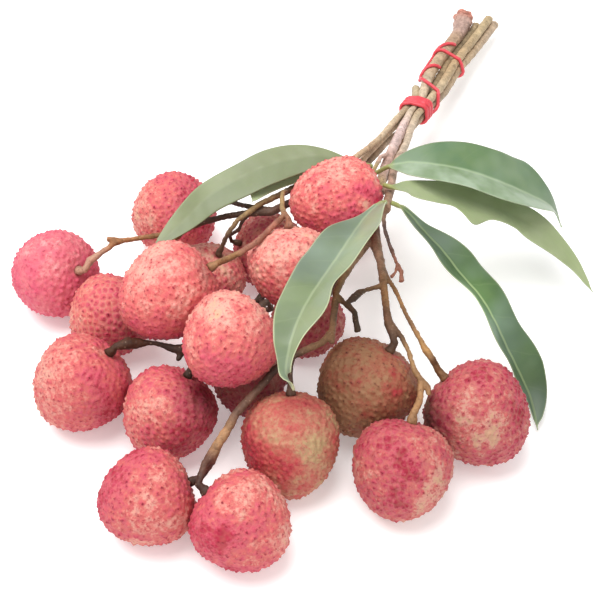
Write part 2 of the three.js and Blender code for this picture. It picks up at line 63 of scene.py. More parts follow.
# Outline from blossom end to stalk dimple, as in the solids: [part of half width, part of length].
FRUIT_OUTLINE = [
    (0, -0.5), (0.32, -0.468), (0.63, -0.372), (0.87, -0.215), (0.99, -0.02),
    (0.985, 0.16), (0.82, 0.325), (0.54, 0.428), (0.24, 0.466), (0, 0.44),
]
TUBERCLE_GAP = 2.4 * MM
TUBERCLE_HIGH = 0.7 * MM
TUBERCLE_SIZES = (0.25, 1.3)  # the least and the greatest height, as parts of TUBERCLE_HIGH
TUBERCLE_FOOT = 0.5  # how far a tubercle's foot reaches, as part of the gap
TUBERCLE_POINTED = 1.6  # over 1 draws the tubercles up to a point
SEAM_WIDE = 0.25  # width of the seams between the tubercles, as part of the gap
SEAM_DEEP = 0.14 * MM
SKIN_SUNK = 0.3 * MM  # how far the skin between the tubercles lies inside the solid
LUMP_HIGH = 0.35 * MM  # the gentle swellings over a whole fruit
SKIN_GRIT = (0.8 * MM, 0.2 * MM)  # spacing and height of the skin's fine roughness
COLLAR = 2.3 * MM  # radius of the corky collar round the stalk
COLLAR_HIGH = 0.6 * MM
COLLAR_LIP = (0.6 * MM, 0.15 * MM)  # width and height of the lip round the collar
COLLAR_SHOWN = 0.8  # how brown the collar is
RIPER_AND_SHADED_SIDE = 0.45  # how much riper a fruit is on its riper side than in its middle; where that side faces down, the deeper red there is painted shade
# Each fruit's skin: how ripe it is, from 1 for red to -1 for tan; the way its riper side faces, which on many fruits
# is down, so that the deeper red there is painted shade; how much the tips of its tubercles stand out; how pale the
# seams between them are; how bright its colours are, which on the fruits deep in the heap (fruit_16 to fruit_20) is
# painted shade; and how strongly they mottle.
SKINS = {
    "fruit_01": (0.5, (-0.2, 0.2, -1), 0.45, 0.05, 1.01, 0.4),
    "fruit_02": (0.25, (0.7, 0, 0.2), 0.95, 0.15, 0.97, 0.6),
    "fruit_03": (0.4, (0.8, 0, -0.2), 0.95, 0.35, 0.92, 0.6),
    "fruit_04": (0.25, (0.3, -0.2, -0.9), 0.95, 0.05, 0.99, 0.4),
    "fruit_05": (0.25, (0.9, -0.1, -0.4), 0.9, 0.1, 0.88, 0.6),
    "fruit_06": (0.55, (0.6, 0.3, -0.2), 0.85, 0.2, 0.9, 0.75),
    "fruit_07": (0.35, (-0.5, 0.2, 0), 0.95, 0.1, 0.86, 0.7),
    "fruit_08": (0.3, (-0.5, -0.4, -0.2), 0.9, 0.1, 0.89, 0.65),
    "fruit_09": (0.05, (-0.2, -0.8, -0.6), 1, 0.1, 0.94, 0.5),
    "fruit_10": (-0.05, (-0.4, -0.1, -0.1), 0.35, 0.1, 0.93, 0.8),
    "fruit_11": (0.1, (0.3, -0.6, -0.8), 1, 0.05, 1.02, 0.5),
    "fruit_12": (-0.17, (0.1, -0.6, -0.8), 0.85, 0.1, 1.02, 0.5),
    "fruit_13": (-0.9, (0.8, -0.1, 0.3), 0.95, 0.15, 0.92, 1),
    "fruit_14": (0.12, (-0.1, 0, 0.1), 0.75, 0.2, 0.73, 0.9),
    "fruit_15": (0.42, (0.3, 0.2, 0), 0.8, 0.25, 0.7, 1),
    "fruit_16": (0.3, (0, 0, -1), 0.6, 0.3, 0.7, 0.7),
    "fruit_17": (0.5, (0, 0, -1), 0.7, 0.3, 0.8, 0.7),
    "fruit_18": (0.1, (0, 0, -1), 0.7, 0.3, 0.85, 0.7),
    "fruit_19": (0.4, (0, 0, -1), 0.6, 0.3, 0.46, 0.7),
    "fruit_20": (0.2, (0, 0, -1), 0.6, 0.3, 0.8, 0.7),
}
# Spots of other skin on some fruits: the way the spot faces, its radius, how much riper and how much deeper; the
# deepening is mostly painted shade on sides that other fruits hide, and a negative one paints a little light.
SKIN_SPOTS = {
    "fruit_01": [((0.8, -0.5, 0.1), 7, 0.3, 0.12)],
    "fruit_02": [((0.7, -0.4, 0.6), 7, 0.5, 0.1), ((-0.5, -0.5, 0.6), 8, -0.4, 0)],
    "fruit_03": [((0.7, -0.5, 0.5), 8, 0.2, 0.3)],
    "fruit_04": [((0.75, -0.1, 0.65), 4, -0.6, 0.3), ((0.35, -0.75, 0.45), 5, -0.6, 0),
                 ((-0.4, -0.1, 0.9), 10, -0.3, -0.03)],
    "fruit_05": [((-0.5, -0.9, -0.1), 9, -0.5, 0), ((0.6, -0.7, 0.2), 7, 0.3, 0.1)],
    "fruit_06": [((0.75, -0.1, 0.7), 8, 0.2, 0.62), ((-0.1, -0.5, 0.85), 6, -0.5, 0),
                 ((0.3, -0.8, 0.3), 5, 0.4, 0)],
    "fruit_07": [((-0.8, -0.42, 0.42), 7, 0.5, 0), ((0, -0.99, 0.14), 8, -0.5, 0),
                 ((0.95, -0.1, 0.3), 5, 0.6, 0.1)],
    "fruit_08": [((-0.4, -0.68, 0.6), 5, 1, 0), ((-0.2, -0.1, 0.97), 8, -0.4, 0),
                 ((0.55, -0.75, 0.3), 8, -0.3, 0)],
    "fruit_09": [((-0.2, -0.2, 0.95), 9, -0.5, -0.05), ((0.1, -0.95, 0.1), 8, 0.3, 0)],
    "fruit_10": [((-0.85, -0.3, 0.44), 5, 1.2, 0), ((-0.75, -0.65, 0.15), 5, 0.9, 0.05), ((0, -0.9, 0.4), 5, 0.8, 0),
                 ((0.5, -0.68, 0.54), 6, -0.7, 0), ((0.3, 0.2, 0.94), 5, 0.6, 0), ((0.9, -0.14, 0.42), 4, 0.7, 0)],
    "fruit_11": [((0.66, -0.64, 0.4), 2.3, -2, 0), ((0.64, -0.45, 0.6), 5.5, 0.9, 0), ((0.85, -0.5, 0.2), 5, 0.7, 0),
                 ((0.3, -0.9, -0.1), 7, 0.5, 0.05), ((0.6, -0.1, 0.8), 6, -0.3, 0)],
    "fruit_13": [((0.45, -0.6, 0.65), 3, 1.4, 0), ((-0.9, -0.3, 0.2), 8, 0, 0.35), ((0.3, 0, 0.95), 7, 0.4, 0)],
    "fruit_14": [((-0.05, -0.46, 0.88), 5, 0.8, 0), ((-0.1, -0.92, 0.36), 6, 1.1, 0), ((-0.7, -0.5, 0.5), 7, -0.5, 0),
                 ((0.5, -0.83, 0.26), 7, -0.8, -0.1), ((0.5, -0.2, 0.85), 6, -0.3, 0)],
    "fruit_15": [((0, 0.14, 0.99), 6, 0.5, -0.06), ((0.75, -0.5, 0.43), 6, 0.7, 0), ((0.1, -0.85, 0.5), 8, -0.8, 0),
                 ((0.1, -0.96, -0.24), 6, 0.4, 0), ((-0.1, -0.4, 0.9), 7, -0.4, 0),
                 ((-0.75, -0.53, 0.39), 5, 0.7, 0.25), ((-0.95, -0.2, 0.2), 7, 0, 0.75)],
}
TAPER = 0.06  # how much a fruit widens towards its stalk and narrows away from it

# ---- twigs ----
BARK_VOXEL = 0.4 * MM
EVENING_ROUNDS = 5  # how often a remeshed piece is smoothed
BUNDLE_WAY = Vector((36, 74, -11)).normalized()  # the way the tied twigs run past the band
BAND_MIDDLE = (47, 108.5, 20.5)  # middle of the band's tight turns in the layout
TIED_SWELL = 0.32 * MM  # how much the twigs past the band thicken to press on each other
TIED_FROM, TIED_FULL = 2 * MM, 12 * MM  # where past the band's middle that begins and is complete
BARK_OVER = 0.1 * MM  # how far the bark stands over the solid everywhere
WRINKLE_GAP, WRINKLE_HIGH = 2 * MM, 0.16 * MM  # the bark's wrinkles
GRIT_GAP, GRIT_HIGH = 0.9 * MM, 0.14 * MM  # and its fine roughness
BUD_GAP, BUD_WIDE, BUD_HIGH = 6.5 * MM, 0.75 * MM, 0.33 * MM  # buds and scars along a twig
FOOT_WIDE, FOOT_HIGH, FOOT_ROUGH = 2.4 * MM, 0.75 * MM, 0.4 * MM  # the foot of a stalk, where a fruit hangs on
FOOT_DARK = 0.6  # how dark that foot is, next to a bud
BURR_FROM, BURR_FULL = 16 * MM, 5 * MM  # how far from the twig's end the burr begins and is complete
BURR_HIGH, BURR_ROUGH = 0.5 * MM, 0.9 * MM
BURR_SCAR = -0.4  # how deep a wrinkle in the burr is where it is darkest, from -1 to 0
SAWN_OFF = 0.5 * MM  # how much of each twig's end the saw takes
TORN_GAP, TORN_DEEP = 1.1 * MM, 1.6 * MM  # how uneven it leaves the ends, the burred one apart
CUT_EDGE = 0.15 * MM  # how quickly bark gives way to sawn wood
# Colours of the bark at marked places of the layout; between them it fades from one to the next. The pale marks on
# the twigs between the band and the fruits are partly painted light: they are lighter than the bark, to lift the
# shade among the tied twigs.
BARK_MARKS = {
    "stem_1": [
        ((52, 121, 20), "#b4a486"), ((47, 108, 21), "#b8a284"), ((33, 82, 30), "#ccb496"),
        ((22, 58, 37), "#c0a284"), ((0, 39, 39), "#7c6048"), ((-18, 24, 39), "#947852"), ((-28, 12, 36), "#544034"),
        ((-6, 15, 50), "#a08258"), ((-10, -4, 54), "#98604e"), ((-17, -8, 51), "#946050"),
        ((-22, -10, 50), "#9e7850"),
    ],
    "stem_2": [
        ((81, 180, 12), "#aa9676"), ((64, 147, 17), "#a08a6a"), ((47, 108, 18), "#b29c80"),
        ((34, 86, 26), "#cdb595"), ((24, 62, 33), "#c0a488"), ((5, 38, 37), "#5c443a"),
        ((-30, 26, 34), "#544036"), ((-44, 24, 30), "#84603a"), ((-62, 21, 28), "#94643e"),
        ((-73, 13, 26), "#b48a74"), ((-28, 38, 32), "#5c463a"),
    ],
    "stem_3": [
        ((47, 108, 18), "#b09a7c"), ((34, 85, 23), "#b8a28a"), ((24, 61, 30), "#8e7860"),
        ((0, 18, 29), "#4e3a30"), ((-30, -24, 27), "#4a352a"), ((-41, -29, 27), "#38281f"),
        ((-54, -27, 28), "#46291a"),
    ],
    "stem_4": [
        ((79, 190, 16), "#c88270"), ((74, 178, 16), "#b6988c"), ((66, 160, 17), "#b6987e"),
        ((60, 143, 20), "#bca284"), ((50, 115, 22), "#c8b69c"), ((37, 79, 28), "#dcc2bc"),
        ((31, 56, 33), "#c8a69a"), ((26, 28, 29), "#7e5a44"), ((27, 10, 30), "#886a54"),
        ((28.5, -20, 32), "#7c5a44"), ((29, -29, 30), "#584032"), ((33, -14, 32), "#a87c50"),
        ((36, -36, 30), "#a07c54"), ((40, -33, 31), "#a67c4c"), ((43, -39, 32), "#5e3e2a"),
        ((37, -52, 27), "#a07852"), ((17, -14, 35), "#4a382c"), ((18, -26, 35), "#46382a"),
        ((12, -11, 34), "#80623e"), ((10, -30, 34), "#8e6a4c"), ((-8, -44, 33), "#4e382e"),
        ((-18, -57, 30), "#664a3c"), ((-24, -67, 27), "#a27a56"), ((-28, -73, 23), "#64443a"),
        ((-30, -78, 20), "#3a2620"), ((26, 44, 40), "#b8a070"),
    ],
    "stem_5": [
        ((86, 187, 14), "#baa480"), ((66, 146, 19), "#b89e7a"), ((52, 112, 22), "#baa688"),
        ((41, 76, 29), "#c8b49e"), ((33, 46, 39), "#b08e7c"), ((29, 14, 50), "#93745e"),
        ((28.5, 8, 43), "#64504a"), ((33, -5, 38), "#a06a56"),
    ],
    "stem_6": [
        ((92, 193, 7), "#bca48a"), ((66, 146, 15), "#b29a7c"), ((52, 110, 18), "#aa947c"),
        ((40, 84, 20), "#ae9078"), ((28, 47, 26), "#6e5040"), ((14, 10, 25), "#5c4032"),
    ],
}
BURRED_TWIG = "stem_4"  # its top swells into old scars

# ---- leaves ----
# Stalk and midrib, half widths left and right at even steps of the blade, roll about the midrib (a positive
# angle lowers the right side) and how far the halves fold up, as in the solids; then how soft the crease at
# the midrib is, how far the midrib stands out, and the waves of the margin. The stalk is the first span.
LEAVES = {
    "leaf_1": {
        "way": [(25, 45.5, 40.4), (18.5, 43.5, 45), (6.5, 43.7, 48), (-3.5, 41.8, 48), (-13.5, 38, 47.5),
                (-22.5, 33, 46), (-32, 27.5, 43), (-40.5, 17.5, 40), (-50, 8, 36.5)],
        "left": [0.8, 5.2, 6.8, 8.2, 8.5, 7.8, 6.3, 4, 0.5],
        "right": [0.8, 3.5, 5.5, 5.8, 5.2, 5.2, 4.8, 3.8, 0.5],
        "roll": -20, "fold": 10, "crease": 4, "ridge": 0.15, "wave": 0.25, "waves": 2.5,
    },
    "leaf_2": {
        "way": [(26, 50, 38.3), (18.5, 49, 41.4), (10.5, 47.5, 42.7), (2, 44, 42.8), (-6, 39.6, 42.4),
                (-12.5, 34, 42.3), (-16.5, 25.5, 42.5)],
        "left": [0.8, 4.5, 6, 6, 5, 3.5, 0.5], "right": [0.8, 3.5, 4, 4, 4.5, 4.5, 0.5],
        "roll": -10, "fold": 6, "crease": 2, "ridge": 0.5, "wave": 0.25, "waves": 2,
    },
    "leaf_3": {
        "way": [(27.2, 43.3, 40.8), (31.5, 40.5, 46), (38, 40, 48), (49, 38.5, 48), (59.5, 37.5, 46),
                (70.5, 36.5, 42), (80.5, 37.5, 36), (90.5, 39.5, 28), (96.5, 41, 17)],
        "left": [0.8, 4.5, 9.5, 11.5, 12, 13.5, 14, 6.5, 0.5],
        "right": [1.2, 7.5, 10.5, 11.5, 11.5, 12, 9.5, 4, 0.5],
        "roll": 5, "fold": 15, "crease": 0.8, "ridge": 0.8, "wave": 0.3, "waves": 2.5,
    },
    "leaf_4": {
        "way": [(28.8, 26.5, 49.1), (31.2, 24.6, 49.8), (36, 28, 47.2), (46, 31, 43.5), (56.5, 32, 39.5),
                (67.5, 31.5, 35.5), (78, 31.5, 30), (88.5, 28.5, 23.5), (98, 24.5, 15.5), (105, 16, 8)],
        "left": [0.8, 1.5, 3, 4, 5, 6, 6, 6, 6, 5, 3.5, 1.8, 0.5],
        "right": [0.8, 3.5, 6.5, 8, 8, 14.2, 7.6, 8, 8.6, 7, 5, 2.3, 0.5],
        "roll": 10, "fold": 15, "crease": 3, "ridge": 0.2, "wave": 0.3, "waves": 3,
    },
    "leaf_5": {
        "way": [(28.4, 13.4, 52.6), (26, 9, 55.5), (21.5, 0.5, 58), (16.5, -11, 60), (11.5, -22.5, 61),
                (7.5, -30.5, 61), (3, -40, 61), (-0.5, -48.5, 60), (-3, -57, 57.5), (-4, -61, 51.5),
                (-2, -60, 42)],
        "left": [3.5, 7.5, 11.5, 10, 8.2, 10.5, 4.5, 1.8, 0.5],
        "right": [0.8, 3, 8.5, 9.8, 8.8, 8.5, 5.5, 2.8, 0.5],
        "roll": 16, "fold": 25, "crease": 1.2, "ridge": 0.8, "wave": 0.6, "waves": 4,
    },
    "leaf_6": {
        "way": [(30.6, 15, 51), (33, 15, 49.6), (36, 13.5, 48), (41, 6.5, 46), (47, 0, 43), (52.5, -6.5, 39),
                (59.5, -12, 33), (64.5, -16.5, 26), (68.5, -21, 19), (73, -26.5, 12), (76.5, -33.5, 7),
                (78, -43.5, 3)],
        "left": [0.8, 1.8, 5, 8.2, 8.4, 8, 9.6, 7, 0.5],
        "right": [0.8, 2.8, 6, 7.2, 7.2, 6.8, 5.2, 3, 0.5],
        "roll": -12, "fold": 25, "crease": 0.6, "ridge": 1, "wave": 0.4, "waves": 4,
    },
}
# Each leaf's colours: the two halves of its upper side, patches in them, the hazy painted sheen that stands for the
# gloss's reflection, the underside and the midrib, then how clearly the midrib, the side veins and the pale rim show.
# On leaf_3 the pale right half is a painted reflection of the sky.
LEAF_FINISHES = {
    "leaf_1": ("#68734f", "#7d8761", "#727b56", "#7c8468", "#7d8a68", "#8a946c", 0.04, 0.01, 0.1),
    "leaf_2": ("#95a478", "#91a074", "#9fab7e", "#a6b08c", "#8ba07e", "#a0b088", 0.06, 0.02, 0.2),
    "leaf_3": ("#567150", "#98a890", "#62794f", "#8a9a80", "#8ba388", "#a8b896", 0.4, 0.02, 0.3),
    "leaf_4": ("#8c986e", "#8c986e", "#98a27a", "#a6ae8c", "#98a680", "#9ca87a", 0.1, 0.02, 0.1),
    "leaf_5": ("#86906e", "#687658", "#74825e", "#7e8e88", "#8fa084", "#aab492", 0.35, 0.07, 0.7),
    "leaf_6": ("#485f38", "#4c6040", "#3a5232", "#748679", "#7c9474", "#98a878", 0.45, 0.05, 0.4),
}
# Paler and darker places of some blades, the paler ones painted sheen: [(millimetres along and across the midrib),
# radius, how much lighter].
LEAF_TONES_AND_SHEEN = {
    "leaf_5": [((22, 6), 7, -0.3), ((44, 7), 6, -0.2), ((30, -5), 9, 0.2)],
    "leaf_6": [((12, 0), 11, -0.3), ((43, 6), 11, 1.1), ((80, -4), 9, -0.4)],
}
LAYOUT_MARK = ("fruit_12", (-3, -7, 42))  # a fruit's middle in the layout that the tables above are written in
# Sizes of the leaves, in millimetres as in their table.
ROWS_A_SPAN = 14
HALF_COLUMNS = 14
COLUMN_EASE = 0.85  # under 1 puts the columns closer together towards the margins
STALK_REACH = 0.8  # radius of a leaf's stalk
TIP_REACH = 0.15  # half width of a leaf's very tip
BLADE_THIN = 0.35
RIB_THICK, RIB_WIDE = 0.8, 0.7
RIB_ABOVE, RIB_BELOW = -0.3, 1.2  # parts of the midrib that stand out above and below; it is a groove above
RIB_FADE = 0.75  # how much of the midrib is gone at the tip
VEIN_GAP = 6.5  # spacing of the side veins along the midrib
VEIN_SLANT = 0.75  # how far a side vein runs up the leaf for each millimetre outwards
VEIN_HIGH = 0.05
ARCH = 0.09  # how far the halves bulge, as part of their width
MARGIN_WAVES = (0.4, 2.1)  # where the waves of the left and right margins start, so that they differ
NO_MARGIN = 9  # stands for the distance from the margin on the stalk, which has none

# ---- band ----
BAND_VOXEL = 0.26 * MM
BAND_OVER = 0.1 * MM  # how much the strands swell into each other

# ---- stage ----
FLOOR_HALF = 3  # metres, far past the bunch
FLOOR_DROP = 0.02 * MM
VIEW_FAR, VIEW_HALF = 430 * MM, 103 * MM  # how far the camera is from the heap, and half of what it sees there
VIEW_SLOPE = math.radians(45)
HEAP_MIDDLE = Vector((0, 0, 20 * MM))  # the point it looks at, in the layout

rng = np.random.default_rng(SEED)


# ---- shared helpers ----
def smooth_way(points, steps):
    """Points along a centripetal Catmull-Rom curve through the given ones, so many to each span."""
    points = np.array(points, float)
    padded = np.vstack([2 * points[0] - points[1], points, 2 * points[-1] - points[-2]])
    gaps = np.linalg.norm(np.diff(padded, axis=0), axis=1) ** 0.5
    t = np.linspace(0, 1, steps, endpoint=False)[:, None]
    made = []
    for i in range(1, len(padded) - 2):
        before, start, end, after = padded[i - 1 : i + 3]
        g0, g1, g2 = gaps[i - 1 : i + 2]
        leave = g1 * ((start - before) / g0 - (end - before) / (g0 + g1) + (end - start) / g1)
        reach = g1 * ((end - start) / g1 - (after - start) / (g1 + g2) + (after - end) / g2)
        bend = 3 * (end - start) - 2 * leave - reach
        turn = 2 * (start - end) + leave + reach
        made.append(start + leave * t + bend * t**2 + turn * t**3)
    return np.vstack([*made, points[-1:]])


def smooth_step(low, high, value):
    """0 up to low, 1 from high on, and an eased ramp between."""
    t = np.clip((value - low) / (high - low), 0, 1)
    return t * t * (3 - 2 * t)


def piece(name, points, faces, material, attributes=()):
    """A smooth-shaded mesh object of those points and faces, with a float or vector at each point."""
    mesh = bpy.data.meshes.new(name)
    mesh.from_pydata(points, [], faces)
    for label, values in dict(attributes).items():
        kind, field = ("FLOAT_VECTOR", "vector") if np.ndim(values) == 2 else ("FLOAT", "value")
        layer = mesh.attributes.new(label, kind, "POINT")
        layer.data.foreach_set(field, np.ascontiguousarray(values, np.float32).ravel())
    mesh.shade_smooth()
    mesh.materials.append(material)
    made = bpy.data.objects.new(name, mesh)
    bpy.context.scene.collection.objects.link(made)
    return made


def dress(made, node):
    """The piece stands for the CAD node: it hangs under the root body and hides the node's solid."""
    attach(made, "root")
    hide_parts(node)


def welded(node):
    """The CAD node's corners, each of them once, and its triangles as rows of corner numbers."""
    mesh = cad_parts[node].data
    corners = np.array([v.co for v in mesh.vertices])
    _, first, number = np.unique(corners.round(6), axis=0, return_index=True, return_inverse=True)
    number = number.ravel()
    return corners[first], np.array([[number[i] for i in p.vertices] for p in mesh.polygons])


def fruit_form(node):
    """The middle, stalk way, length and width of a fruit, measured on its solid.

    The solid is turned on a lathe, so its poles are the two corners where the most faces meet,
    and the faces round the stalk's pole rise out of a dimple.
    """
    corners, faces = welded(node)
    first, second = np.argsort(np.bincount(faces.ravel()))[-2:]
    axis = corners[first] - corners[second]
    beside = corners[faces[(faces == first).any(1)]].mean(axis=(0, 1))
    if np.dot(beside - corners[first], axis) < 0:
        first, second, axis = second, first, -axis
    long = np.linalg.norm(axis) / (FRUIT_OUTLINE[-1][1] - FRUIT_OUTLINE[0][1])
    way = axis / np.linalg.norm(axis)
    middle = corners[second] - way * long * FRUIT_OUTLINE[0][1]
    out = corners - middle
    reach = np.linalg.norm(out - np.outer(out @ way, way), axis=1).max()
    return middle, way, long, 2 * reach / max(r for r, _ in FRUIT_OUTLINE)


def layout_shift():
    """Where the layout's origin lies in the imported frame."""
    node, place = LAYOUT_MARK
    return fruit_form(node)[0] - np.array(place) * MM


# ---- materials ----
def linear(colour):
    """An sRGB hex colour as the linear RGBA that a shader takes."""
    parts = [int(colour[i : i + 2], 16) / 255 for i in (1, 3, 5)]
    return [c / 12.92 if c <= 0.04045 else ((c + 0.055) / 1.055) ** 2.4 for c in parts] + [1]


def every(mm):
    """The scale at which a noise or cell pattern repeats about every so many millimetres."""
    return 1 / (mm * MM)


def add(tree, kind, inputs=(), stops=(), **settings):
    """A shader node. Inputs go by name or number and take a value, a node's first output or a socket."""
    node = tree.nodes.new("ShaderNode" + kind)
    for name, value in settings.items():
        setattr(node, name, value)
    for key, value in dict(inputs).items():
        named = [s for s in node.inputs if s.name == key and s.enabled]
        socket = named[0] if named else node.inputs[key]
        if isinstance(value, bpy.types.Node):
            value = next(s for s in value.outputs if s.enabled)
        if isinstance(value, bpy.types.NodeSocket):
            tree.links.new(value, socket)
        else:
            socket.default_value = value
    for i, (place, colour) in enumerate(stops):
        elements = node.color_ramp.elements
        stop = elements[i] if i < 2 else elements.new(place)
        stop.position, stop.color = place, linear(colour)
    return node


def new_material(name):
    """An empty material, its node tree and its output node."""
    made = bpy.data.materials.new(name)
    made.use_nodes = True
    made.node_tree.nodes.clear()
    return made, made.node_tree, add(made.node_tree, "OutputMaterial")


def surface(tree, output, inputs, bumps):
    """Ends a material: stacks the bumps, each (height, distance in mm, strength), under one Principled shader."""
    normal = None
    for height, distance, strength in bumps:
        settings = {"Height": height, "Distance": distance * MM, "Strength": strength}
        if normal:
            settings["Normal"] = normal
        normal = add(tree, "Bump", settings)
    shader = add(tree, "BsdfPrincipled", {**inputs, "Normal": normal})
    tree.links.new(shader.outputs["BSDF"], output.inputs["Surface"])


def lychee_skin(name, deep, pink, coral, peach, straw, fleck, tip):
    """Dry leathery lychee skin: patches from straw to crimson, grainy, with deep red tips and pale seams, dimmed by
    painted shade where the fruit lies hidden.
    """
    made, tree, output = new_material(name)
    place = add(tree, "TexCoord").outputs["Object"]
    skin = add(tree, "SeparateXYZ", {"Vector": add(tree, "Attribute", attribute_name="skin").outputs["Vector"]})
    tubercle, cell, seam = skin.outputs
    ripe_shade_tips_seams = add(tree, "SeparateXYZ", {"Vector": add(tree, "Attribute", attribute_name="ripe_shade_tips_seams").outputs["Vector"]})
    ripe_and_shade, tips, seams = ripe_shade_tips_seams.outputs
    collar_shade_mottle = add(tree, "SeparateXYZ", {"Vector": add(tree, "Attribute", attribute_name="collar_shade_mottle").outputs["Vector"]})
    collar, tone_and_shade, mottle = collar_shade_mottle.outputs

    # Riper and paler areas of about 8 mm, blotches of about 3 mm, and the grain of the dry skin, which is
    # drawn at about 1 mm, coarser than real, so that it shows.
    broad = add(tree, "TexNoise", {"Vector": place, "Scale": every(8), "Detail": 4, "Roughness": 0.6})
    blotch = add(tree, "TexNoise", {"Vector": place, "Scale": every(3.2), "Detail": 4, "Roughness": 0.7})
    grain = add(tree, "TexNoise", {"Vector": place, "Scale": every(0.95), "Detail": 3, "Roughness": 0.75})
    # These and the tubercles' own tints average out at 1.275. How far the skin leans from that, and how ripe it is,
    # pick its colour;
    # the ripeness carries painted shade as deeper red on downward sides.
    mixed = broad
    for part, share in ((blotch, 0.65), (grain, 0.7), (cell, 0.2)):
        mixed = add(tree, "Math", {0: part, 1: share, 2: mixed}, operation="MULTIPLY_ADD")
    even = add(tree, "Math", {0: mixed, 1: 1.275}, operation="SUBTRACT")
    grown = add(tree, "Math", {0: ripe_and_shade, 1: 0.22, 2: 0.5}, operation="MULTIPLY_ADD")
    leaning = add(tree, "Math", {0: even, 1: mottle, 2: grown}, operation="MULTIPLY_ADD")
    ground = add(tree, "ValToRGB", {"Fac": leaning},
                 [(0.24, straw), (0.95, fleck), (0.36, peach), (0.5, coral), (0.64, pink), (0.8, deep)])
    flecks = add(tree, "MapRange", {"Value": grain, "From Min": 0.56, "From Max": 0.7, "To Max": 0.5})
    grained = add(tree, "Mix", {"Factor": flecks, "A": ground, "B": linear(fleck)}, data_type="RGBA")

    # Pale seams, broken up by the blotches, then a faint flank and a dark point on each tubercle.
    broken = add(tree, "Math", {0: blotch, 1: 2.2, 2: seam}, operation="MULTIPLY_ADD")
    net = add(tree, "MapRange", {"Value": broken, "From Min": 1.3, "From Max": 2.1, "To Max": seams})
    netted = add(tree, "Mix", {"Factor": net, "A": grained, "B": linear(straw)}, data_type="RGBA")
    jagged = add(tree, "Math", {0: grain, 1: 1.5, 2: tubercle}, operation="MULTIPLY_ADD")
    varied = add(tree, "Math", {0: cell, 1: 0.6, 2: 0.4}, operation="MULTIPLY_ADD")
    uneven = add(tree, "Math", {0: varied, 1: tips}, operation="MULTIPLY")
    faint = add(tree, "Math", {0: uneven, 1: 0.5}, operation="MULTIPLY")
    flank = add(tree, "MapRange", {"Value": jagged, "From Min": 1.2, "From Max": 1.65, "To Max": faint})
    flanked = add(tree, "Mix", {"Factor": flank, "A": netted, "B": linear(fleck)}, data_type="RGBA")
    point = add(tree, "MapRange", {"Value": jagged, "From Min": 1.4, "From Max": 1.75, "To Max": uneven})
    pointed = add(tree, "Mix", {"Factor": point, "A": flanked, "B": linear(tip)}, data_type="RGBA")
    # Painted shade: the colour is multiplied down on fruits and sides that lie hidden in the heap.
    dimmed_by_shade = add(tree, "Mix", {"Factor": 1, "A": pointed, "B": tone_and_shade}, data_type="RGBA", blend_type="MULTIPLY")
    corky = add(tree, "Mix", {"Factor": collar, "A": dimmed_by_shade, "B": linear("#7e4038")}, data_type="RGBA")

    rough = add(tree, "MapRange", {"Value": grain, "To Min": 0.5, "To Max": 0.72})
    surface(tree, output, {
        "Base Color": corky, "Roughness": rough, "IOR": 1.45, "Specular IOR Level": 0.35,
        "Subsurface Weight": 0.06, "Subsurface Radius": (0.004, 0.0015, 0.001), "Subsurface Scale": 0.4,
    }, [(grain, 0.35, 0.8), (blotch, 0.5, 0.25)])
    return made


def twig_bark():
    """Thin smooth bark of young lychee twigs, purple brown to tan, with faint corky specks and fine wrinkles."""
    made, tree, output = new_material("LycheeTwigBark")
    place = add(tree, "TexCoord").outputs["Object"]
    hue = add(tree, "Attribute", attribute_name="hue").outputs["Color"]
    cut = add(tree, "Attribute", attribute_name="cut").outputs["Fac"]
    swell = add(tree, "Attribute", attribute_name="swell").outputs["Fac"]
    # Mottling of about 3.5 mm. Pits of 1 mm and corky specks 1.7 mm apart are coarser than real, so that they show.
    broad = add(tree, "TexNoise", {"Vector": place, "Scale": every(3.5), "Detail": 4, "Roughness": 0.7})
    mottle = add(tree, "MapRange", {
        "Value": broad, "From Min": 0.32, "From Max": 0.68, "To Min": 0.62, "To Max": 1.25})
    toned = add(tree, "Mix", {"Factor": 1, "A": hue, "B": mottle}, data_type="RGBA", blend_type="MULTIPLY")
    dim = add(tree, "Math", {0: swell, 1: 0.45}, operation="MULTIPLY")
    scarred = add(tree, "Mix", {"Factor": dim, "A": toned, "B": linear("#4c3628")}, data_type="RGBA")
    grain = add(tree, "TexNoise", {"Vector": place, "Scale": every(1), "Detail": 3, "Roughness": 0.65})
    pits = add(tree, "MapRange", {"Value": grain, "From Min": 0.45, "From Max": 0.33, "To Max": 0.5})
    pitted = add(tree, "Mix", {"Factor": pits, "A": scarred, "B": linear("#563a28")}, data_type="RGBA")
    specks = add(tree, "TexVoronoi", {"Vector": place, "Scale": every(1.7)})
    pale = add(tree, "MapRange", {"Value": specks, "From Min": 0.2, "From Max": 0.1, "To Max": 0.3})
    specked = add(tree, "Mix", {"Factor": pale, "A": pitted, "B": linear("#b59a80")}, data_type="RGBA")
    sawn = add(tree, "Mix", {"Factor": cut, "A": specked, "B": linear("#bd8f74")}, data_type="RGBA")
    surface(tree, output, {
        "Base Color": sawn, "Roughness": 0.6, "IOR": 1.45, "Specular IOR Level": 0.35,
    }, [(grain, 0.45, 0.7), (broad, 0.4, 0.3)])
    return made


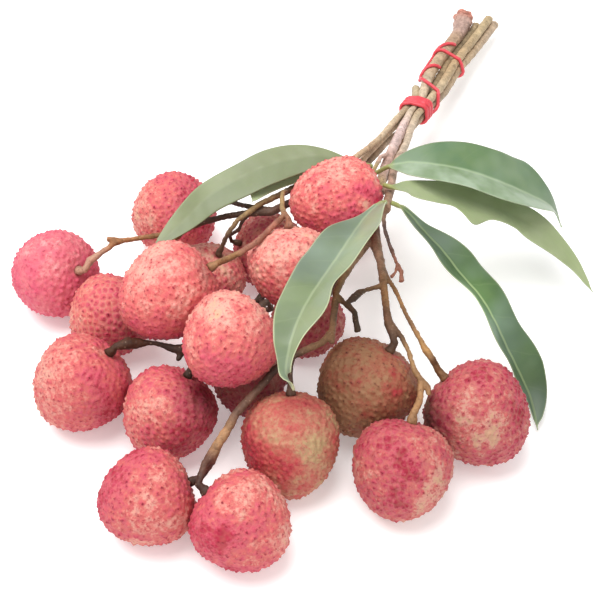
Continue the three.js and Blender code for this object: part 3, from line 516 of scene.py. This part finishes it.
def lychee_leaf(name, left, right, patch, bloom, under, rib, rib_shown, veins_shown, rim_shown):
    """Leathery lychee leaf: waxy over two greens, with hazy patches of painted sheen for the gloss's reflection, dull
    and paler below.
    """
    made, tree, output = new_material(name)
    place = add(tree, "TexCoord").outputs["Object"]
    blade = add(tree, "SeparateXYZ", {"Vector": add(tree, "Attribute", attribute_name="blade").outputs["Vector"]})
    across, along, from_edge = blade.outputs
    below = add(tree, "Attribute", attribute_name="under").outputs["Fac"]

    # Patches of about 13 mm and painted sheen of about 17 mm, so that each leaf shows a few of each.
    half = add(tree, "MapRange", {"Value": across, "From Min": -1, "From Max": 0.6})
    halves = add(tree, "Mix", {"Factor": half, "A": linear(left), "B": linear(right)}, data_type="RGBA")
    broad = add(tree, "TexNoise", {"Vector": place, "Scale": every(13), "Detail": 3, "Roughness": 0.55})
    patches = add(tree, "MapRange", {"Value": broad, "From Min": 0.45, "From Max": 0.68, "To Max": 0.8})
    patched = add(tree, "Mix", {"Factor": patches, "A": halves, "B": linear(patch)}, data_type="RGBA")
    # Painted sheen: hazy patches of a paler blue-grey stand for the gloss reflecting the room.
    sheen_noise = add(tree, "TexNoise", {"Vector": place, "Scale": every(17), "Detail": 2, "W": 3.7}, noise_dimensions="4D")
    painted_sheen = add(tree, "MapRange", {"Value": sheen_noise, "From Min": 0.4, "From Max": 0.72, "To Max": 0.6})
    above = add(tree, "Mix", {"Factor": painted_sheen, "A": patched, "B": linear(bloom)}, data_type="RGBA")
    sides = add(tree, "Mix", {"Factor": below, "A": above, "B": linear(under)}, data_type="RGBA")

    reach = add(tree, "Math", {0: across}, operation="ABSOLUTE")
    slanted = add(tree, "Math", {0: reach, 1: -VEIN_SLANT, 2: along}, operation="MULTIPLY_ADD")
    wander = add(tree, "Math", {0: broad, 1: 5, 2: slanted}, operation="MULTIPLY_ADD")
    gap = add(tree, "Math", {0: wander, 1: VEIN_GAP}, operation="PINGPONG")
    vein = add(tree, "MapRange", {"Value": gap, "From Min": 0.45, "From Max": 0.05, "To Max": veins_shown})
    veined = add(tree, "Mix", {"Factor": vein, "A": sides, "B": linear(rib)}, data_type="RGBA")
    centre = add(tree, "MapRange", {"Value": reach, "From Min": 0.65, "From Max": 0.25, "To Max": rib_shown})
    ribbed = add(tree, "Mix", {"Factor": centre, "A": veined, "B": linear(rib)}, data_type="RGBA")
    rim = add(tree, "MapRange", {"Value": from_edge, "From Min": 0.6, "From Max": 0.15, "To Max": rim_shown})
    rimmed = add(tree, "Mix", {"Factor": rim, "A": ribbed, "B": linear("#c9cda4")}, data_type="RGBA")
    # Paler and darker places of some blades; where this lightens, it paints sheen.
    tone_and_sheen = add(tree, "Attribute", attribute_name="tone_and_sheen").outputs["Fac"]
    toned = add(tree, "Mix", {"Factor": 1, "A": rimmed, "B": tone_and_sheen}, data_type="RGBA", blend_type="MULTIPLY")
    stalk = add(tree, "MapRange", {"Value": along, "From Min": 2.5, "From Max": -0.5})
    stalked = add(tree, "Mix", {"Factor": stalk, "A": toned, "B": linear("#8f9358")}, data_type="RGBA")

    grain = add(tree, "TexNoise", {"Vector": place, "Scale": every(1.2), "Detail": 2})
    rough = add(tree, "MapRange", {"Value": below, "To Min": 0.42, "To Max": 0.62})
    surface(tree, output, {
        "Base Color": stalked, "Roughness": rough, "IOR": 1.45, "Specular IOR Level": 0.45,
        "Subsurface Weight": 0.08, "Subsurface Radius": (0.001, 0.002, 0.0005), "Subsurface Scale": 0.3,
    }, [(grain, 0.06, 0.35)])
    return made


def band_rubber():
    """Dipped natural rubber, dyed red: even colour, a soft gloss and a faint bloom."""
    made, tree, output = new_material("DyedRubber")
    place = add(tree, "TexCoord").outputs["Object"]
    bloom = add(tree, "TexNoise", {"Vector": place, "Scale": every(3), "Detail": 3})
    colour = add(tree, "ValToRGB", {"Fac": bloom}, [(0.3, "#c8323e"), (0.7, "#dc505a")])
    rough = add(tree, "MapRange", {"Value": bloom, "To Min": 0.32, "To Max": 0.5})
    surface(tree, output, {
        "Base Color": colour, "Roughness": rough, "IOR": 1.52,
        "Subsurface Weight": 0.1, "Subsurface Radius": (0.002, 0.0005, 0.0005), "Subsurface Scale": 0.4,
    }, [(bloom, 0.1, 0.4)])
    return made


# ---- fruits ----
def sphere_grid(cuts):
    """Ways out of the middle and the faces between them, for a cube of that many cuts blown up into a ball."""
    turn = np.tan(np.linspace(-math.pi / 4, math.pi / 4, cuts + 1))
    right, up = (part.ravel() for part in np.meshgrid(turn, turn, indexing="ij"))
    ways, faces = [], []
    row = cuts + 1
    corner = (np.arange(cuts)[:, None] * row + np.arange(cuts)).ravel()
    quad = np.stack([corner, corner + row, corner + row + 1, corner + 1], axis=1)
    for axis in range(3):
        for sign in (1, -1):
            side = np.empty((row * row, 3))
            side[:, axis] = sign
            side[:, (axis + 1) % 3] = right * sign
            side[:, (axis + 2) % 3] = up
            faces.append(quad + row * row * len(ways))
            ways.append(side)
    ways = np.vstack(ways)
    ways /= np.linalg.norm(ways, axis=1, keepdims=True)
    _, first, number = np.unique(ways.round(5), axis=0, return_index=True, return_inverse=True)
    return ways[first], number.ravel()[np.vstack(faces)]


def tubercle_ways(count):
    """Evenly scattered ways out of the middle, on a jittered golden spiral."""
    i = np.arange(count) + 0.5
    height = 1 - 2 * i / count
    turn = math.pi * (1 + 5**0.5) * i
    ring = np.sqrt(1 - height**2)
    ways = np.stack([ring * np.cos(turn), ring * np.sin(turn), height], axis=1)
    ways += rng.normal(0, 0.27 * math.sqrt(4 * math.pi / count), ways.shape)
    return ways / np.linalg.norm(ways, axis=1, keepdims=True)


def outline_reach(ways, long, wide):
    """How far the smooth fruit reaches along each way, in its own frame with the stalk along +Z."""
    (r_start, h_start), (r_end, h_end) = FRUIT_OUTLINE[1], FRUIT_OUTLINE[-2]
    points = [(-r_start, h_start), *FRUIT_OUTLINE, (-r_end, h_end)]
    steps = 12
    curve = smooth_way(points, steps)[steps:-steps] * (wide / 2, long)
    curve = curve[::-1]
    angle = np.arctan2(np.maximum(curve[:, 0], 0), curve[:, 1])
    return np.interp(np.arccos(np.clip(ways[:, 2], -1, 1)), angle, np.hypot(*curve.T))


def soft_lumps(ways, waves=7):
    """Gentle swellings over the whole fruit, from -1 to 1."""
    made = np.zeros(len(ways))
    for _ in range(waves):
        made += np.cos(ways @ rng.normal(0, 2.2, 3) + rng.uniform(0, 2 * math.pi))
    return made / waves


def skin_ripeness_and_shade(node, out, wide):
    """How ripe the skin is at each point, and how far its colour is dimmed; both carry painted shade on sides that
    face down or lie hidden.
    """
    red, side, _, _, tone_and_shade, _ = SKINS[node]
    ripe_and_shade = red + RIPER_AND_SHADED_SIDE * out @ np.array(Vector(side).normalized())
    # The dimming is painted shade on fruits and sides that other fruits hide; a negative spot paints a little light.
    deep = np.full(len(out), float(tone_and_shade))
    for way, radius, riper, shade_dimming in SKIN_SPOTS.get(node, ()):
        away = np.linalg.norm(out - np.array(Vector(way).normalized()), axis=1) * wide / 2 / (radius * MM)
        ripe_and_shade += riper * np.exp(-(away**2))
        deep *= 1 - shade_dimming * np.exp(-(away**2))
    return ripe_and_shade, deep


def tubercles_on(ways, seeds, reach):
    """At each point how high up a tubercle it lies and how deep in a seam, and which seed is the nearest."""
    near = ways @ seeds.T
    best = np.argpartition(-near, 2, axis=1)[:, :2]
    two = np.take_along_axis(near, best, axis=1)
    nearest = best[np.arange(len(ways)), two.argmax(axis=1)]
    pair = np.sort(two, axis=1)[:, ::-1]
    apart = np.arccos(np.clip(pair, -1, 1)) * reach[:, None] / TUBERCLE_GAP
    tubercle = np.clip(1 - apart[:, 0] / TUBERCLE_FOOT, 0, 1)
    seam = np.exp(-(((apart[:, 1] - apart[:, 0]) / SEAM_WIDE) ** 2))
    return tubercle, seam, nearest


def make_fruit(node, grid, material):
    """A fruit's skin with its tubercles, in place of its solid."""
    ways, faces = grid
    middle, stalk, long, wide = fruit_form(node)
    area = math.pi * wide * long
    seeds = tubercle_ways(int(area / (TUBERCLE_GAP**2 * math.sqrt(3) / 2)))
    reach = outline_reach(ways, long, wide)
    tubercle, seam, nearest = tubercles_on(ways, seeds, reach)
    size = rng.uniform(*TUBERCLE_SIZES, len(seeds))[nearest]
    grit_gap, grit_high = SKIN_GRIT
    grit = np.array([noise.noise(Vector(way) * float(wide / 2 / grit_gap)) for way in ways])
    from_axis = np.hypot(ways[:, 0], ways[:, 1]) * reach
    collar = smooth_step(COLLAR, COLLAR * 0.6, from_axis) * (ways[:, 2] > 0)
    proud = TUBERCLE_HIGH * size * tubercle**TUBERCLE_POINTED * (1 - collar) - SEAM_DEEP * seam + grit_high * grit
    lip_wide, lip_high = COLLAR_LIP
    proud += lip_high * np.exp(-(((from_axis - COLLAR) / lip_wide) ** 2)) * (ways[:, 2] > 0)
    reach = reach - SKIN_SUNK + LUMP_HIGH * soft_lumps(ways) + proud + COLLAR_HIGH * collar
    turn = np.array(Vector((0, 0, 1)).rotation_difference(Vector(stalk)).to_matrix())
    out = ways @ turn.T
    form = ways * reach[:, None]
    form[:, :2] *= 1 + TAPER * ways[:, 2:]
    points = middle + form @ turn.T
    points[:, 2] = np.maximum(points[:, 2], 0)
    cell = rng.uniform(0, 1, len(seeds))[nearest]
    ripe_and_shade, deep = skin_ripeness_and_shade(node, out, wide)
    tips, seams, mottle = (np.full(len(out), float(SKINS[node][i])) for i in (2, 3, 5))
    made = piece(node + "_skin", points, faces, material, {
        "skin": np.stack([tubercle, cell, seam], axis=1),
        "ripe_shade_tips_seams": np.stack([ripe_and_shade, tips, seams], axis=1),
        "collar_shade_mottle": np.stack([COLLAR_SHOWN * collar, deep, mottle], axis=1),
    })
    dress(made, node)


def make_fruits():
    """All the fruits, most in the red skin and three in skins of their own."""
    red = lychee_skin(
        "LycheeSkinRed", "#b22440", "#ce5467", "#d26662", "#de9a8d", "#d8a888", "#a8243a", "#701422")
    rosy = lychee_skin(
        "LycheeSkinRosy", "#b22244", "#cf566e", "#d26a74", "#de9c9a", "#d8a898", "#a8243a", "#701422")
    blushed = lychee_skin(
        "LycheeSkinBlushed", "#b02c40", "#bc5450", "#ba6a5a", "#ba8468", "#b4966e", "#a03438", "#60281c")
    brown = lychee_skin(
        "LycheeSkinBrown", "#b0303c", "#a84640", "#a05844", "#a4684e", "#a07454", "#7a3a2a", "#3e1c14")
    others = {"fruit_01": rosy, "fruit_10": blushed, "fruit_13": brown}
    grid = sphere_grid(SPHERE_CUTS)
    for node in SKINS:
        make_fruit(node, grid, others.get(node, red))


# ---- twigs and band ----
def remeshed(node, voxel):
    """The CAD node as an even fine mesh: its points and faces."""
    mesh = bpy.data.meshes.new(node)
    corners, faces = welded(node)
    mesh.from_pydata(corners, [], faces)
    rough = bpy.data.objects.new(node + "_rough", mesh)
    bpy.context.scene.collection.objects.link(rough)
    modifier = rough.modifiers.new("even", "REMESH")
    modifier.mode = "VOXEL"
    modifier.voxel_size = voxel
    fine = bpy.data.meshes.new_from_object(rough.evaluated_get(bpy.context.evaluated_depsgraph_get()))
    points = np.array([v.co for v in fine.vertices])
    quads = [tuple(p.vertices) for p in fine.polygons]
    bpy.data.objects.remove(rough)
    for spent in (mesh, fine):
        bpy.data.meshes.remove(spent)
    return points, quads


def neighbour_pairs(faces):
    """Each edge once each way: the numbers of its two ends."""
    pairs = np.array([(f[i - 1], f[i]) for f in faces for i in range(len(f))])
    return pairs[:, 0], pairs[:, 1]


def smoothed(points, faces, rounds):
    """The points eased towards their neighbours and back again, which rounds them without thinning."""
    start, end = neighbour_pairs(faces)
    count = np.bincount(end, minlength=len(points))[:, None]
    for push in (0.5, -0.52) * rounds:
        mean = np.stack([np.bincount(end, points[start, k], len(points)) for k in range(3)], axis=1) / count
        points = points + push * (mean - points)
    return points


def outward(points, faces):
    """The unit normal at each point."""
    quads = np.array([f if len(f) == 4 else (*f, f[-1]) for f in faces])
    a, b, c, d = (points[quads[:, i]] for i in range(4))
    face = np.cross(c - a, d - b)
    made = np.stack([np.bincount(quads.ravel(), np.repeat(face[:, k], 4), len(points)) for k in range(3)], axis=1)
    return made / np.linalg.norm(made, axis=1, keepdims=True)


def buds_on(points, spacing):
    """How much each point swells for the buds and scars along a twig, which sit about that far apart."""
    order = rng.permutation(len(points))
    tree = kdtree.KDTree(len(points))
    for i, point in enumerate(points):
        tree.insert(point, i)
    tree.balance()
    taken = np.zeros(len(points), bool)
    swell = np.zeros(len(points))
    for i in order:
        if taken[i]:
            continue
        size = rng.uniform(0.4, 1)
        for _, j, distance in tree.find_range(points[i], spacing):
            taken[j] = True
            swell[j] = max(swell[j], size * math.exp(-((distance / BUD_WIDE) ** 2)))
    return swell


def bark_hue(points, marks):
    """The bark's colour at each point of the layout, faded between the marked places near it."""
    places = np.array([place for place, _ in marks])
    hues = np.array([linear(colour)[:3] for _, colour in marks])
    away = np.linalg.norm(points[:, None] - places, axis=2)
    weight = 1 / (away + 2) ** 4
    return weight @ hues / weight.sum(axis=1, keepdims=True)


def stalk_feet():
    """The middle of the place on each fruit where its stalk sits."""
    forms = [fruit_form(node) for node in SKINS]
    seat = FRUIT_OUTLINE[-1][1]
    return np.array([np.array(middle) + np.array(stalk) * seat * long for middle, stalk, long, _ in forms])


def make_twig(node, marks, bark, feet, shift):
    """A twig's bark: its solid remeshed, roughened, thickened at buds and stalk feet, and sawn off."""
    way = np.array(BUNDLE_WAY)
    band = (np.array(BAND_MIDDLE) * MM + shift) @ way
    burred = node == BURRED_TWIG
    points, faces = remeshed(node, BARK_VOXEL)
    points = smoothed(points, faces, EVENING_ROUNDS)
    along = points @ way
    end = along.max()

    wrinkle = np.array([noise.fractal(Vector(p) / WRINKLE_GAP, 0.9, 2, 3) for p in points])
    grit = np.array([noise.noise(Vector(p) / GRIT_GAP) for p in points])
    burr = smooth_step(end - BURR_FROM, end - BURR_FULL, along) * burred
    bud = buds_on(points, BUD_GAP)
    tied = TIED_SWELL * smooth_step(band + TIED_FROM, band + TIED_FULL, along)
    foot = np.exp(-((np.linalg.norm(points[:, None] - feet, axis=2).min(axis=1) / FOOT_WIDE) ** 2))
    grown = BARK_OVER + WRINKLE_HIGH * wrinkle + GRIT_HIGH * grit + BUD_HIGH * bud + tied
    grown += burr * (BURR_HIGH + BURR_ROUGH * wrinkle) + foot * (FOOT_HIGH + FOOT_ROUGH * wrinkle)
    points = points + outward(points, faces) * grown[:, None]

    torn = np.array([noise.noise(Vector(p) / TORN_GAP) for p in points - np.outer(along, way)])
    sawn = end - SAWN_OFF - (0 if burred else TORN_DEEP) * np.abs(torn)
    points -= np.outer(np.maximum(points @ way - sawn, 0), way)
    made = piece(node + "_bark", points, faces, bark, {
        "hue": bark_hue((points - shift) / MM, marks),
        "cut": smooth_step(sawn - CUT_EDGE, sawn, along),
        "swell": np.maximum(np.maximum(bud, FOOT_DARK * foot), burr * smooth_step(0, BURR_SCAR, wrinkle)),
    })
    dress(made, node)


def make_twigs(shift):
    """All the twigs, in one bark."""
    bark = twig_bark()
    feet = stalk_feet()
    for node, marks in BARK_MARKS.items():
        make_twig(node, marks, bark, feet, shift)


def make_band():
    """The band's strands, remeshed so that they press together as soft rubber does."""
    points, faces = remeshed("rubber_band", BAND_VOXEL)
    points = smoothed(points, faces, EVENING_ROUNDS)
    points = points + BAND_OVER * outward(points, faces)
    made = piece("rubber_band_strands", points, faces, band_rubber())
    dress(made, "rubber_band")


# ---- leaves ----
def eased(values, share):
    """The values at even steps of the blade, joined by a smooth curve and read at each share of it."""
    step = 8
    knots = smooth_way([(i * step, value) for i, value in enumerate(values)], step)
    return np.interp(np.clip(share, 0, 1) * step * (len(values) - 1), *knots.T)


def leaf_frames(way, roll):
    """The side and up ways at each point of a midrib."""
    tangent = np.gradient(way, axis=0)
    tangent /= np.linalg.norm(tangent, axis=1, keepdims=True)
    flat = np.stack([tangent[:, 1], -tangent[:, 0], np.zeros(len(way))], axis=1)
    flat /= np.linalg.norm(flat, axis=1, keepdims=True)
    side = flat * np.cos(roll)[:, None] + np.cross(tangent, flat) * np.sin(roll)[:, None]
    return side, np.cross(side, tangent)


def half_widths(values, share):
    """How far half of the leaf reaches from the midrib at each share of it: a stalk, a blade, then a tip."""
    opened = smooth_step(-0.02, 0.03, share)
    reach = STALK_REACH + (eased(values, share) - STALK_REACH) * opened
    closing = smooth_step(1, 0.96, share)
    return TIP_REACH + (reach - TIP_REACH) * closing


def both_sides(values, below=None):
    """Values of the upper side's points, then those of the lower side, which shares the margins, going back."""
    below = values if below is None else below
    return np.concatenate([values, below[:, -2:0:-1]], axis=1)


def leaf_skin(leaf, tones_and_sheen, shift):
    """Points, faces and attributes of a leaf with its stalk: a ring of points at each step of the midrib."""
    way = smooth_way(leaf["way"], ROWS_A_SPAN)
    rows = len(way)
    base = 1 / (len(leaf["way"]) - 1)
    share = (np.linspace(0, 1, rows) - base) / (1 - base)
    side, up = leaf_frames(way, np.radians(np.full(rows, leaf["roll"])))
    length = np.concatenate([[0], np.cumsum(np.linalg.norm(np.diff(way, axis=0), axis=1))])
    length -= np.interp(base, np.linspace(0, 1, rows), length)
    bladed = smooth_step(-0.01, 0.04, share)[:, None]

    column = np.linspace(-1, 1, 2 * HALF_COLUMNS + 1)
    out = np.sign(column) * np.abs(column) ** COLUMN_EASE
    left, right = half_widths(leaf["left"], share), half_widths(leaf["right"], share)
    reach = np.where(column < 0, left[:, None], right[:, None])
    across = reach * out
    fold = math.radians(leaf["fold"]) * bladed
    wave = leaf["wave"] * out**2 * bladed * np.sin(
        2 * math.pi * leaf["waves"] * share[:, None] + np.where(column < 0, *MARGIN_WAVES))
    ripple = VEIN_HIGH * np.cos(2 * math.pi * (length[:, None] - VEIN_SLANT * np.abs(across)) / VEIN_GAP)
    ripple = ripple * (1 - out**2) * bladed
    arch = ARCH * reach * (np.abs(out) - out**2) * bladed
    soft = leaf["crease"]
    height = (np.sqrt(across**2 + soft**2) - soft) * np.sin(fold) + wave + ripple + arch
    centre = way[:, None] + side[:, None] * (across * np.cos(fold))[..., None] + up[:, None] * height[..., None]

    stalk = STALK_REACH * np.sqrt(np.maximum(1 - out**2, 0))[None]
    rib = (RIB_THICK - BLADE_THIN) / 2 * np.exp(-((across / RIB_WIDE) ** 2)) * leaf["ridge"]
    rib *= (1 - RIB_FADE * np.clip(share, 0, 1))[:, None]
    thin = BLADE_THIN / 2 * smooth_step(1.0, 0.93, np.abs(out))
    above = stalk * (1 - bladed) + (thin + RIB_ABOVE * rib) * bladed
    below = stalk * (1 - bladed) + (thin + RIB_BELOW * rib) * bladed
    ring = both_sides(centre + up[:, None] * above[..., None], centre - up[:, None] * below[..., None])
    around = ring.shape[1]

    number = np.arange(rows * around).reshape(rows, around)
    beyond = np.roll(number, -1, axis=1)
    quads = np.stack([number[:-1], number[1:], beyond[1:], beyond[:-1]], axis=-1).reshape(-1, 4)
    faces = [*quads.tolist(), number[0].tolist(), number[-1][::-1].tolist()]
    edge = np.where(share[:, None] > 0, reach * (1 - np.abs(out)), NO_MARGIN)
    blade = np.stack([across, np.broadcast_to(length[:, None], across.shape), edge], axis=-1)
    # Paler and darker places of the blade; the paler ones are painted sheen.
    tone_and_sheen = np.ones(across.shape)
    for (along, off), radius, lighter in tones_and_sheen:
        away = np.hypot(length[:, None] - along, across - off)
        tone_and_sheen += lighter * np.exp(-((away / radius) ** 2))
    return ring.reshape(-1, 3) * MM + shift, faces, {
        "blade": both_sides(blade).reshape(-1, 3),
        "under": both_sides(np.zeros(across.shape), np.ones(across.shape)).ravel(),
        "tone_and_sheen": both_sides(tone_and_sheen).ravel(),
    }


def make_leaves(shift):
    """All the leaves, each with a finish of its own."""
    for node, leaf in LEAVES.items():
        finish = lychee_leaf("LycheeLeaf" + node[-1], *LEAF_FINISHES[node])
        points, faces, attributes = leaf_skin(leaf, LEAF_TONES_AND_SHEEN.get(node, []), shift)
        made = piece(node + "_blade", points, faces, finish, attributes)
        dress(made, node)


# ---- stage ----
def make_floor():
    """The top of a shooting table: plain opal acrylic, matt and very faintly lit from below."""
    made, tree, output = new_material("OpalAcrylic")
    place = add(tree, "TexCoord").outputs["Object"]
    fleck = add(tree, "TexNoise", {"Vector": place, "Scale": every(40), "Detail": 2})
    colour = add(tree, "ValToRGB", {"Fac": fleck}, [(0.3, "#f3f3f2"), (0.7, "#f6f6f5")])
    surface(tree, output, {
        "Base Color": colour, "Roughness": 0.9, "Emission Color": linear("#ffffff"), "Emission Strength": 0.25,
    }, [(fleck, 0.05, 0.1)])
    corners = [(-FLOOR_HALF, -FLOOR_HALF, 0), (FLOOR_HALF, -FLOOR_HALF, 0),
               (FLOOR_HALF, FLOOR_HALF, 0), (-FLOOR_HALF, FLOOR_HALF, 0)]
    floor = piece("floor", corners, [(0, 1, 2, 3)], made)
    floor.location.z = CAD_BOX[0][2] - FLOOR_DROP


def area_light(name, place, size, power):
    """A round white soft light that faces the bunch."""
    light = bpy.data.lights.new(name, "AREA")
    light.shape = "DISK"
    light.size = size
    light.energy = power
    made = bpy.data.objects.new(name, light)
    made.location = place
    made.rotation_euler = (-Vector(place)).to_track_quat("-Z", "Y").to_euler()
    bpy.context.scene.collection.objects.link(made)


def make_light():
    """Plain soft light: a bright room, a big window high on the left and a weak fill in front."""
    world = bpy.data.worlds.new("soft_room")
    world.use_nodes = True
    back = next(n for n in world.node_tree.nodes if n.type == "BACKGROUND")
    back.inputs["Color"].default_value = linear("#ffffff")
    back.inputs["Strength"].default_value = 0.65
    bpy.context.scene.world = world
    area_light("window", (-0.25, -0.05, 1), size=0.85, power=12)
    area_light("fill", (0.3, -0.8, 0.7), size=0.9, power=2)


def make_camera(shift):
    """The camera in front of the heap, looking down on it along +Y."""
    data = bpy.data.cameras.new("camera")
    data.sensor_width = 36
    data.lens = data.sensor_width / 2 * VIEW_FAR / VIEW_HALF
    data.clip_start, data.clip_end = 0.01, 20
    camera = bpy.data.objects.new("camera", data)
    back = Vector((0, -math.cos(VIEW_SLOPE), math.sin(VIEW_SLOPE)))
    camera.location = Vector(shift) + HEAP_MIDDLE + VIEW_FAR * back
    camera.rotation_euler = (math.pi / 2 - VIEW_SLOPE, 0, 0)
    bpy.context.scene.collection.objects.link(camera)
    bpy.context.scene.camera = camera


shift = layout_shift()
make_camera(shift)
make_fruits()
make_twigs(shift)
make_leaves(shift)
make_band()
make_floor()
make_light()
bpy.context.scene.view_settings.view_transform = "Standard"
